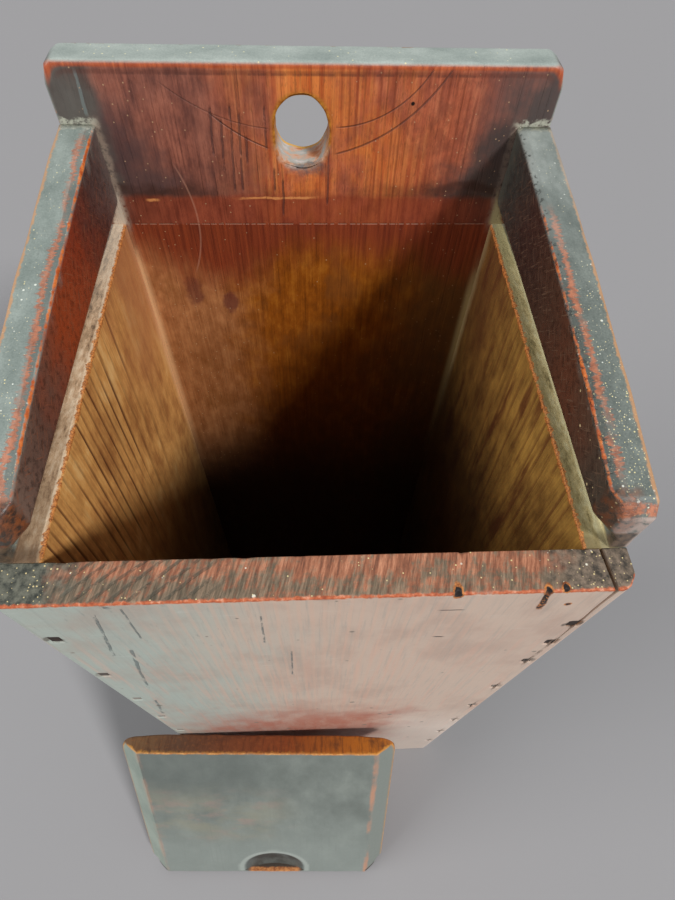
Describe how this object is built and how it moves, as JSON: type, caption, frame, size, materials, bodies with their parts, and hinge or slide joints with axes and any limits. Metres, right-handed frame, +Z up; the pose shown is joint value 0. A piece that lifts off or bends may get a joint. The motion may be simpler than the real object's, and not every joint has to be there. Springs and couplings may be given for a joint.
{
  "type": "candle box",
  "caption": "Tall nailed pine candle box with an open top, a raised back holed for hanging, and a bevelled lid that slides in grooves, here off the box and leaning in front.",
  "frame": {"origin": "centre of the box's underside, on the floor or shelf that it stands on", "axes": "+Z up; -Y the front, where the low front board is and the lid leans; +X the box's right-hand side seen from the front"},
  "size_m": [0.2014, 0.2418, 0.417],
  "materials": {
    "painted_pine": "old grey-green paint over red-brown varnished pine, worn to orange wood at the edges",
    "bare_pine": "bare pine, darkened by age",
    "lid_paint": "grey-green paint, with bare orange wood at the worn edges and ends",
    "nail_iron": "dark rusted cut nails"
  },
  "bodies": {
    "box": {"back_board": "painted_pine", "left_side": "painted_pine", "right_side": "painted_pine", "front_board": "painted_pine", "bottom_board": "bare_pine", "back_nail_bottom_1": "nail_iron", "back_nail_bottom_2": "nail_iron", "back_nail_bottom_3": "nail_iron", "back_nail_left_1": "nail_iron", "back_nail_left_2": "nail_iron", "back_nail_left_3": "nail_iron", "back_nail_left_4": "nail_iron", "back_nail_left_5": "nail_iron", "back_nail_left_6": "nail_iron", "back_nail_left_7": "nail_iron", "back_nail_left_8": "nail_iron", "back_nail_right_1": "nail_iron", "back_nail_right_2": "nail_iron", "back_nail_right_3": "nail_iron", "back_nail_right_4": "nail_iron", "back_nail_right_5": "nail_iron", "back_nail_right_6": "nail_iron", "back_nail_right_7": "nail_iron", "back_nail_right_8": "nail_iron", "front_nail_bottom_1": "nail_iron", "front_nail_bottom_2": "nail_iron", "front_nail_bottom_3": "nail_iron", "front_nail_left_1": "nail_iron", "front_nail_left_2": "nail_iron", "front_nail_left_3": "nail_iron", "front_nail_left_4": "nail_iron", "front_nail_left_5": "nail_iron", "front_nail_left_6": "nail_iron", "front_nail_left_7": "nail_iron", "front_nail_right_1": "nail_iron", "front_nail_right_2": "nail_iron", "front_nail_right_3": "nail_iron", "front_nail_right_4": "nail_iron", "front_nail_right_5": "nail_iron", "front_nail_right_6": "nail_iron", "front_nail_right_7": "nail_iron", "repair_nail": "nail_iron", "side_nail_left_1": "nail_iron", "side_nail_left_2": "nail_iron", "side_nail_left_3": "nail_iron", "side_nail_right_1": "nail_iron", "side_nail_right_2": "nail_iron", "side_nail_right_3": "nail_iron"},
    "lid": {"lid": "lid_paint"}
  },
  "joints": [
    {"name": "lid_lift", "type": "slide", "parent": "box", "child": "lid", "axis": [0, 0, 1], "range_m": [0, 0.45]}
  ]
}
